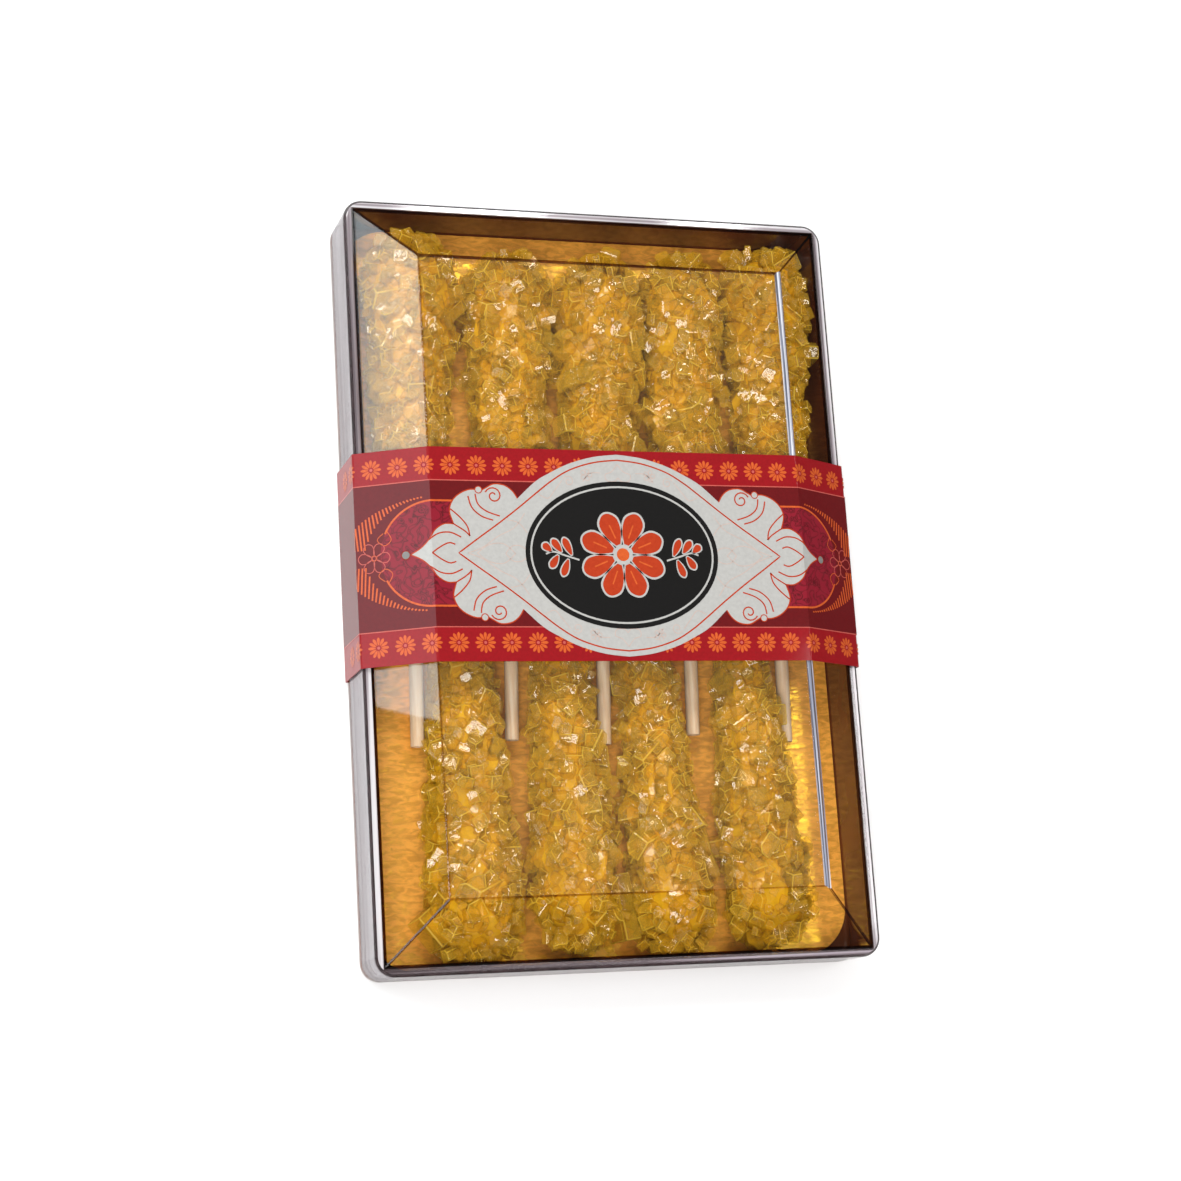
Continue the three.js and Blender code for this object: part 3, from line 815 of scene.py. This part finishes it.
def buildLid():
    low, high = boxes["lid"]
    values = {key: value * mm for key, value in lidSet.items()}
    rimZ = high.z - values["topRise"] + values["rimRise"]
    clear, skirt, flangeSide = (finishNumber[name] for name in ("clear", "skirt", "flangeSide"))
    bm = bmesh.new()

    def upperEdges():
        # Edges between two faces, from the rim upwards
        return [e for e in bm.edges
                if len(e.link_faces) == 2 and all(v.co.z > rimZ - sameHeight for v in e.verts)]

    face = roundedQuad(bm, low, high, low.z, values["cornerRadius"], 10)
    face = raiseFace(bm, face, rimZ - low.z)
    face = insetFace(bm, face, values["flange"])
    # The shoulders meet in sharp corners, so each round corner of the inset face becomes one point
    cornerX = high.x - values["flange"]
    cornerY = high.y - values["flange"]
    corners = [(signX, signY) for signX in (-1, 1) for signY in (-1, 1)]
    arcs = [[v for v in face.verts if v.co.x * signX > 0 and v.co.y * signY > 0] for signX, signY in corners]
    for (signX, signY), arc in zip(corners, arcs):
        bmesh.ops.pointmerge(bm, verts=arc, merge_co=(signX * cornerX, signY * cornerY, rimZ))
    face = [f for f in bm.faces if len(f.verts) == 4 and f.calc_area() > 0.5 * high.x * high.y
            and abs(f.calc_center_median().z - rimZ) < sameHeight][0]
    spread = ((high.x - values["shoulderX"]) / cornerX, (high.y - values["shoulderY"]) / cornerY)
    raiseFace(bm, face, high.z - rimZ, spread)
    bottom = [f for f in bm.faces if abs(f.calc_center_median().z - low.z) < sameHeight]
    bmesh.ops.delete(bm, geom=bottom, context="FACES_ONLY")
    bmesh.ops.recalc_face_normals(bm, faces=bm.faces[:])
    for face in bm.faces:
        middleZ = face.calc_center_median().z
        face.material_index = clear if middleZ > rimZ + sameHeight else skirt
        if abs(middleZ - rimZ) < sameHeight:
            face.material_index = flangeSide
    outerRim = [e for e in edgesAtHeight(bm, rimZ)
                if len(e.link_faces) == 2 and finishesOf(e) == {skirt, flangeSide}]
    creases = [e for e in upperEdges() if clear in finishesOf(e)]
    ridge = [e for e in creases if all(v.co.z > high.z - sameHeight and v.co.x > 0 for v in e.verts)]
    # The right ridge is tinted with near-opaque pale and dark lines: a painted highlight with painted shade
    # beside it
    paint(bevelEdges(bm, ridge, values["ridge"], 3), "ridge")
    others = [e for e in creases if e.is_valid and e not in ridge]
    paint(bevelEdges(bm, others, values["crease"], 2), "crease")
    # The creases that meet the ridge were made anew by its bevel, so they are found again
    bm.normal_update()
    meeting = [e for e in upperEdges()
               if finishesOf(e) <= {clear, flangeSide} and e.calc_face_angle() > 0.1
               and max(v.co.z for v in e.verts) > rimZ + sameHeight]
    paint(bevelEdges(bm, meeting, values["crease"], 2, clamp=False), "crease")
    # The near and left creases of the flat top face the light, so they are given a pale tint: a painted
    # highlight
    near = values["shoulderY"] - high.y + values["crease"] * 2
    left = values["shoulderX"] - high.x + values["crease"] * 2
    for face in bm.faces:
        middle = face.calc_center_median()
        onTop = middle.z > high.z - values["crease"] and middle.y < high.y - values["shoulderY"] - 1 * mm
        if face.material_index == finishNumber["crease"] and onTop and (middle.y < near or middle.x < left):
            face.material_index = finishNumber["creasePale"]
    rounded = bevelEdges(bm, [e for e in outerRim if e.is_valid], values["rimRound"], 3)
    bm.normal_update()
    # The rim's lower round faces get the near-black lip tint, a painted shade line
    for face in rounded:
        face.material_index = finishNumber["lip"] if face.normal.z < 0.98 else flangeSide
    # The flange's long sides and its ends are drawn with lines along them, and the near end gets darker
    # colours, a painted shade
    for face in bm.faces:
        middle = face.calc_center_median()
        if face.material_index == flangeSide and high.x - abs(middle.x) > high.y - abs(middle.y):
            face.material_index = finishNumber["flangeEnd" if middle.y > 0 else "flangeNear"]
    bmesh.ops.solidify(bm, geom=bm.faces[:], thickness=values["wall"])
    materials = [clearStyrene()]
    for name, finish in lidPaintedLight.items():
        make = styrenePaintedLight if "cover" in finish else creaseStyrene
        materials.append(make("clearStyrene" + name[0].upper() + name[1:], **finish))
    addPiece("clearLid", bm, materials, "lid", smoothDegrees=25)


buildLid()
print("lid")


# Band: one taut turn of printed paper round the box

bandSet = {
    "paper": 0.3,
    "fold": 0.4,
    "inkStep": 0.02,
    "edgeStrip": 8.75,
    "border": 14.1,
    "borderLine": 0.5,
    "borderCentre": 50,
    "rosetteInset": 4.75,
    "rosettePitch": 6.85,
    "rosetteSize": 5.4,
    "petals": 12,
    "middleZ": 14,
    "pastShoulder": 0.18,  # how far the taut paper stands off the lid's shoulder and rim
    "overRim": 0.36,
}

# Past the border's round ends, on the flat sheet: hatched crescents, a line flower and curls
endSet = {
    "hatch": (2.4, 20.5),
    "hatchStep": 0.9,
    "hatchWidth": 0.42,
    "hatchLean": 0.25,
    "outer": (14.6, 23.5),
    "inner": (14.4, 17.6),
    "flowerAt": 15.2,
    "flowerPetal": (3.6, 2.6),
    "curl": [(61.6, 6.6), (60.6, 4.4), (62.4, 3.0), (64.2, 4.6), (62.6, 6.2)],
    "line": 0.2,
}

# An oval with a made-up flower between two sprays of leaves. A petal is its length, width and start.
plaqueSet = {
    "reach": (26.0, 19.4),
    "rimInset": 1.5,
    "rimWidth": 0.5,
    "petals": 8,
    "petal": (9.6, 6.2, 2.4),
    "petalInside": (8.7, 5.2, 2.8),
    "ray": (4.6, 8.4),
    "lineWidth": 0.4,
    "centre": 2.6,
    "centreInside": 1.7,
    "stem": [(11.8, -1.5), (15.4, -0.4), (18.6, 0.6), (20.6, 0)],
    "stemWidth": 0.45,
    "leaves": [(13.6, -0.6, 1.15, 5.4), (16.2, 0.2, 0.95, 4.6), (14.6, -1.0, -1.2, 5.2),
               (17.2, 0.0, -1.0, 4.4), (18.8, 0.5, 0.7, 3.4)],
}

# Half outlines on the flat sheet, from the middle of the band outwards, in one quarter
medallionSet = {
    "ogee": [(0, 26.6), (6.5, 25.8), (13, 23.9), (18.2, 21.4), (22.4, 18.9), (27.3, 14.4)],
    "lobes": [
        [(27.3, 14.4), (28.6, 16.4), (30.6, 17.8), (33.4, 18.1), (35.6, 17.0), (36.9, 16.2)],
        [(36.9, 16.2), (39.4, 16.6), (42.2, 15.6), (44.4, 13.6), (45.3, 10.8), (44.4, 7.5)],
        [(44.4, 7.5), (46.8, 7.5), (49.2, 6.0), (50.8, 3.6), (53.0, 1.5), (55.8, 0)],
    ],
    "innerOgee": [(0, 25.1), (6.5, 24.3), (13, 22.2), (18, 19.2), (22.4, 15.8), (27, 12.1), (32.5, 7.9),
                  (38.5, 3.6), (43.4, 0)],
    "strokes": [
        [(38.4, 15.4), (37.8, 12.8), (35.6, 10.9), (32.2, 9.7)],
        [(40.3, 14.8), (39.4, 11.8), (37.0, 9.6), (34.0, 8.6)],
        [(45.1, 11.4), (42.8, 9.4), (40.9, 7.0), (40.3, 4.4)],
        [(44.4, 7.5), (42.6, 6.4), (41.2, 5.4), (40.3, 4.4)],
        [(50.9, 3.4), (48.4, 5.0), (45.4, 5.3), (42.6, 4.1)],
        [(50.2, 0), (48.0, 1.6), (45.8, 2.6), (44.2, 2.2)],
    ],
    "spiral": (33.6, 15.0, 2.3),
    "beads": [(37.5, 16.5, 0.9), (57.0, 0, 1.1)],
    "faint": [
        [(41, 0), (37, 1.6), (33, 4.4), (28.5, 6.8), (25.6, 10.6)],
        [(38.6, 0), (35.4, 2.2), (31.6, 2.5), (28.6, 0)],
        [(31.2, 0), (29.4, 1.9), (27.2, 2.0), (25.4, 0.8)],
        [(30.4, 8.8), (27.4, 8.0), (25.2, 5.4)],
        [(21.6, 15.6), (19.2, 14.6), (17.4, 16.6), (15.2, 19.4)],
        [(0, 24), (1.6, 22.0), (3.4, 21.2), (3.0, 19.6), (1.0, 19.4), (0, 20.4)],
        [(4.8, 21.6), (7.6, 21.4), (9.6, 19.2)],
    ],
    "faintSpiral": (13.4, 19.2, 1.5),
    "faintFlower": (8.6, 21.0, 1.3),
}

inkColours = {
    "deep": ("#600409", "#580307"),
    "field": ("#7e1022", "#4c060e"),
    "orange": ("#c45624", "#b44a1c"),
    "rose": ("#b8554a", "#ac4a42"),
    "white": ("#aaa8a4", "#a2a09c"),
    "vermilion": ("#a83412", "#9e2e0e"),
    "beige": ("#b8a298", "#b09a90"),
    "black": ("#0b0908", "#080706"),
}
inkNames = list(inkColours)


def printedPaper(name, colour, shade, scrolled=False):
    # Coated paper, offset printed: even ink with a satin film over it
    material, tree, place = newMaterial(name)
    fibre = addNode(tree, "ShaderNodeTexNoise", {"Scale": 1 / (0.8 * mm), "Detail": 4}, {"Vector": place})
    tone = addRamp(tree, fibre.outputs["Fac"], [(0.3, shade), (0.7, colour)])
    if scrolled:
        # Scrolls printed tone on tone
        scroll = addNode(tree, "ShaderNodeTexNoise",
                         {"Scale": 1 / (3.4 * mm), "Detail": 0, "Distortion": 1.6}, {"Vector": place})
        tone = addRamp(tree, scroll.outputs["Fac"],
                       [(0.40, colour), (0.45, shade), (0.5, colour), (0.55, shade), (0.6, colour)])
    bump = addNode(tree, "ShaderNodeBump", {"Strength": 0.08, "Distance": 0.1 * mm},
                   {"Height": fibre.outputs["Fac"]})
    ink = addNode(tree, "ShaderNodeBsdfPrincipled",
                  {"Roughness": 0.5, "IOR": 1.5, "Specular IOR Level": 0.1, "Coat Weight": 0.5,
                   "Coat Roughness": 0.06},
                  {"Base Color": tone, "Normal": bump.outputs["Normal"]})
    addNode(tree, "ShaderNodeOutputMaterial", links={"Surface": ink.outputs["BSDF"]})
    return material


def bandOutline():
    # The band's outer face, once round the box: underside, side, shoulder and top
    low, high = boxes["paper_band"]
    lidHigh = boxes["lid"][1]
    crease = lidHigh.x - (lidSet["shoulderX"] - bandSet["pastShoulder"]) * mm
    rim = lidHigh.z - (lidSet["topRise"] - lidSet["rimRise"] - bandSet["overRim"]) * mm
    right = [(high.x, low.z), (high.x, rim), (crease, high.z)]
    return right + [(-x, z) for x, z in reversed(right)]


def buildBand():
    low, high = boxes["paper_band"]
    bm = bmesh.new()
    ring = [bm.verts.new((x, low.y, z)) for x, z in bandOutline()]
    for first, second in zip(ring, ring[1:] + ring[:1]):
        bm.edges.new((first, second))
    made = bmesh.ops.extrude_edge_only(bm, edges=bm.edges[:])["geom"]
    far = [v for v in made if isinstance(v, bmesh.types.BMVert)]
    bmesh.ops.translate(bm, vec=(0, high.y - low.y, 0), verts=far)
    bmesh.ops.recalc_face_normals(bm, faces=bm.faces[:])
    outwardness = 0.0
    for face in bm.faces:
        middle = face.calc_center_median()
        outwardness += face.normal.dot(middle - Vector((0, middle.y, bandSet["middleZ"] * mm)))
    if outwardness < 0:
        bmesh.ops.reverse_faces(bm, faces=bm.faces[:])
    folds = [e for e in bm.edges if abs(e.verts[0].co.y - e.verts[1].co.y) > 10 * mm]
    bevelEdges(bm, folds, bandSet["fold"] * mm, 3)
    bmesh.ops.solidify(bm, geom=bm.faces[:], thickness=bandSet["paper"] * mm)
    red = printedPaper("coatedPaperCrimson", "#8c0510", "#82040d")
    addPiece("paperBand", bm, [red], "paper_band", smoothDegrees=25)


def curve(points, steps=5):
    # A smooth line through the given points
    places = [Vector((s, v, 0)) for s, v in points]
    line = []
    for index, (start, end) in enumerate(zip(places, places[1:])):
        before = places[index - 1] if index else start
        after = places[index + 2] if index + 2 < len(places) else end
        run = interpolate_bezier(start, start + (end - before) / 6, end - (after - start) / 6, end, steps + 1)
        line += run[:-1]
    return [(p.x, p.y) for p in line] + [points[-1]]


def circle(s, v, radius, sides, squash=1.0):
    angles = [math.tau * k / sides for k in range(sides)]
    return [(s + radius * math.cos(a), v + radius * squash * math.sin(a)) for a in angles]


def spiral(s, v, radius, turns=1.35, steps=22):
    line = []
    for k in range(steps + 1):
        share = k / steps
        angle = 0.4 + math.tau * turns * share
        reach = radius * (1 - 0.78 * share)
        line.append((s + reach * math.cos(angle), v + reach * math.sin(angle)))
    return line


def petal(s, v, length, width, angle, start=0.0):
    half = [(start, 0.12 * width), (0.35 * length + start, 0.42 * width),
            (0.72 * length + start, 0.5 * width), (0.93 * length + start, 0.28 * width), (length + start, 0)]
    outline = [(a, -b) for a, b in half] + [(a, b) for a, b in reversed(half[:-1])]
    cosine, sine = math.cos(angle), math.sin(angle)
    return [(s + a * cosine - b * sine, v + a * sine + b * cosine) for a, b in outline]


def layShape(bm, points, layer, inkName):
    verts = [bm.verts.new((s * mm, v * mm, layer * bandSet["inkStep"] * mm)) for s, v in points]
    bm.faces.new(verts).material_index = inkNames.index(inkName)


def layLine(bm, points, width, layer, inkName, closed=False):
    path = [Vector((s, v)) for s, v in points]
    height = layer * bandSet["inkStep"] * mm
    pairs = []
    for index, place in enumerate(path):
        before = path[index - 1] if index or closed else place
        after = path[(index + 1) % len(path)] if index + 1 < len(path) or closed else place
        along = (after - before).normalized()
        across = Vector((-along.y, along.x)) * width / 2
        ends = (place - across, place + across)
        pairs.append([bm.verts.new((end.x * mm, end.y * mm, height)) for end in ends])
    for first, second in zip(pairs, pairs[1:] + (pairs[:1] if closed else [])):
        bm.faces.new((first[0], second[0], second[1], first[1])).material_index = inkNames.index(inkName)


def fourWays(points):
    return [[(s * signS, v * signV) for s, v in points] for signS in (-1, 1) for signV in (-1, 1)]


def ringOf(quarter):
    # A closed outline from its quarter, which runs from the v axis to the s axis
    right = quarter + [(s, -v) for s, v in reversed(quarter[:-1])]
    return right + [(-s, v) for s, v in reversed(right[1:-1])]


def layBorders(bm, halfWidth, halfLength):
    lineV = halfWidth - bandSet["edgeStrip"]
    borderV = halfWidth - bandSet["border"]
    centre = bandSet["borderCentre"]
    strip = [(-halfLength, -lineV), (halfLength, -lineV), (halfLength, lineV), (-halfLength, lineV)]
    layShape(bm, strip, 1, "deep")
    angles = [step * math.pi / 48 for step in range(25)]
    arc = [(centre + borderV * math.sin(a), borderV * math.cos(a)) for a in angles]
    layShape(bm, ringOf([(0, borderV)] + arc), 2, "field")
    borderEdge = [(0, borderV)] + arc[:18]
    for line in fourWays(borderEdge):
        layLine(bm, line, bandSet["borderLine"], 3, "orange")
    for sign in (-1, 1):
        layLine(bm, [(-halfLength, sign * lineV), (halfLength, sign * lineV)], 0.28, 2, "rose")
    outerV, outerS = endSet["outer"]
    innerV, innerS = endSet["inner"]
    lean = endSet["hatchLean"]
    s = centre + endSet["hatch"][0]
    while s < centre + endSet["hatch"][1]:
        outer = outerV * math.sqrt(1 - ((s - centre) / outerS) ** 2)
        inner = innerV * math.sqrt(max(0.02, 1 - ((s - centre) / innerS) ** 2))
        for line in fourWays([(s - lean, inner + 0.2), (s + lean, outer)]):
            layLine(bm, line, endSet["hatchWidth"], 3, "orange")
        s += endSet["hatchStep"]
    width = endSet["line"]
    for side in (-1, 1):
        flowerS = side * (centre + endSet["flowerAt"])
        for k in range(6):
            outline = curve(petal(flowerS, 0, *endSet["flowerPetal"], math.tau * k / 6, 0.5), 3)
            layLine(bm, outline, width, 3, "rose", closed=True)
        layLine(bm, circle(flowerS, 0, 0.7, 12), width, 3, "orange", closed=True)
        for sign in (-1, 1):
            curl = curve([(side * s, sign * v) for s, v in endSet["curl"]])
            layLine(bm, curl, width, 3, "orange")


def layRosettes(bm, halfWidth, halfLength):
    values = bandSet
    rowV = halfWidth - values["rosetteInset"]
    count = int(halfLength / values["rosettePitch"] - 0.2)
    for index in range(-count, count):
        s = (index + 0.5) * values["rosettePitch"]
        for v in (-rowV, rowV):
            for k in range(values["petals"]):
                angle = math.tau * k / values["petals"]
                layShape(bm, petal(s, v, values["rosetteSize"] * 0.37, values["rosetteSize"] * 0.145, angle,
                                   values["rosetteSize"] * 0.13), 1, "orange")
            layShape(bm, circle(s, v, 0.42, 8), 1, "rose")


def layMedallion(bm):
    values = medallionSet
    lobes = [curve(points) for points in values["lobes"]]
    quarter = curve(values["ogee"])
    for lobe in lobes:
        quarter += lobe[1:]
    layShape(bm, ringOf(quarter), 4, "white")
    for lobe in lobes:
        for line in fourWays(lobe):
            layLine(bm, line, 0.32, 5, "vermilion")
    layLine(bm, ringOf(curve(values["innerOgee"])), 0.38, 5, "vermilion", closed=True)
    for points in values["strokes"] + [spiral(*values["spiral"])]:
        for line in fourWays(curve(points) if len(points) < 9 else points):
            layLine(bm, line, 0.36, 5, "vermilion")
    for s, v, radius in values["beads"]:
        for bead in fourWays([(s, v)]):
            outline = circle(*bead[0], radius, 16)
            layShape(bm, outline, 6, "white")
            layLine(bm, outline, 0.25, 7, "vermilion", closed=True)
    for points in values["faint"] + [spiral(*values["faintSpiral"])]:
        for line in fourWays(curve(points) if len(points) < 9 else points):
            layLine(bm, line, 0.2, 5, "beige")
    flowerS, flowerV, petalReach = values["faintFlower"]
    for centre in fourWays([(flowerS, flowerV)]):
        for k in range(5):
            outline = petal(*centre[0], petalReach, 1.1, math.tau * k / 5, 0.3)
            layLine(bm, outline, 0.18, 5, "beige", closed=True)


def layPlaque(bm):
    values = plaqueSet
    reachS, reachV = values["reach"]
    innerS = reachS - values["rimInset"]
    innerV = reachV - values["rimInset"]
    layShape(bm, circle(0, 0, reachS, 72, reachV / reachS), 6, "black")
    layLine(bm, circle(0, 0, innerS, 72, innerV / innerS), values["rimWidth"], 7, "white", closed=True)
    for k in range(values["petals"]):
        angle = math.tau * (k + 0.5) / values["petals"]
        for key, layer, inkName in (("petal", 7, "white"), ("petalInside", 8, "vermilion")):
            length, width, start = values[key]
            layShape(bm, curve(petal(0, 0, length, width, angle, start), 3), layer, inkName)
        ray = [(reach * math.cos(angle), reach * math.sin(angle)) for reach in values["ray"]]
        layLine(bm, ray, values["lineWidth"], 9, "orange")
    layShape(bm, circle(0, 0, values["centre"], 24), 9, "white")
    layShape(bm, circle(0, 0, values["centreInside"], 20), 10, "orange")
    for side in (-1, 1):
        stem = curve([(side * s, v) for s, v in values["stem"]])
        layLine(bm, stem, values["stemWidth"], 7, "white")
        for s, v, turn, length in values["leaves"]:
            angle = turn if side > 0 else math.pi - turn
            layShape(bm, curve(petal(side * s, v, length, 2.5, angle, 0.2), 3), 7, "white")
            layShape(bm, curve(petal(side * s, v, length - 0.7, 1.8, angle, 0.5), 3), 8, "vermilion")


def wrapPrint(bm):
    # Folds the flat print onto the band's outer face
    low, high = boxes["paper_band"]
    middleY = (low.y + high.y) / 2
    profile = [Vector((0, high.z))] + [Vector(corner) for corner in reversed(bandOutline()[:3])]
    normals = []
    starts = [0.0]
    for first, second in zip(profile, profile[1:]):
        along = (second - first).normalized()
        normals.append(Vector((-along.y, along.x)))
        starts.append(starts[-1] + (second - first).length)
    bmesh.ops.triangulate(bm, faces=bm.faces[:], ngon_method="EAR_CLIP")
    for fold in starts[1:3]:
        for side in (-1, 1):
            bmesh.ops.bisect_plane(bm, geom=bm.verts[:] + bm.edges[:] + bm.faces[:], dist=1e-7,
                                   plane_co=(side * fold, 0, 0), plane_no=(1, 0, 0))
    bm.normal_update()
    bmesh.ops.reverse_faces(bm, faces=[f for f in bm.faces if f.normal.z < 0])
    for v in bm.verts:
        distance = min(abs(v.co.x), starts[3])
        index = min(2, sum(distance > start + 1e-6 for start in starts[1:3]))
        normal = normals[index].copy()
        if index < 2 and abs(distance - starts[index + 1]) < 2e-6:
            other = normals[index + 1]
            normal = (normal + other) / (1 + normal.dot(other))
        along = (profile[index + 1] - profile[index]).normalized()
        lift = v.co.z + bandSet["inkStep"] * mm
        flat = profile[index] + along * (distance - starts[index]) + normal * lift
        v.co = (math.copysign(flat.x, v.co.x) if distance > 1e-9 else 0, middleY + v.co.y, flat.y)


def buildPrint():
    low, high = boxes["paper_band"]
    halfWidth = (high.y - low.y) / 2 / mm
    outline = [Vector(corner) for corner in bandOutline()[:3]]
    length = outline[2].x + (outline[2] - outline[1]).length + (outline[1] - outline[0]).length
    halfLength = length / mm - 0.4  # the print stops a little short of the band's foot
    bm = bmesh.new()
    layBorders(bm, halfWidth, halfLength)
    layRosettes(bm, halfWidth, halfLength)
    layMedallion(bm)
    layPlaque(bm)
    wrapPrint(bm)
    inks = [printedPaper("coatedPaper" + name.capitalize(), *inkColours[name], name == "field")
            for name in inkNames]
    piece = addPiece("bandPrint", bm, inks, "paper_band")
    return len(piece.data.polygons)


buildBand()
print("paper band")
print("print on the band", buildPrint(), "faces")
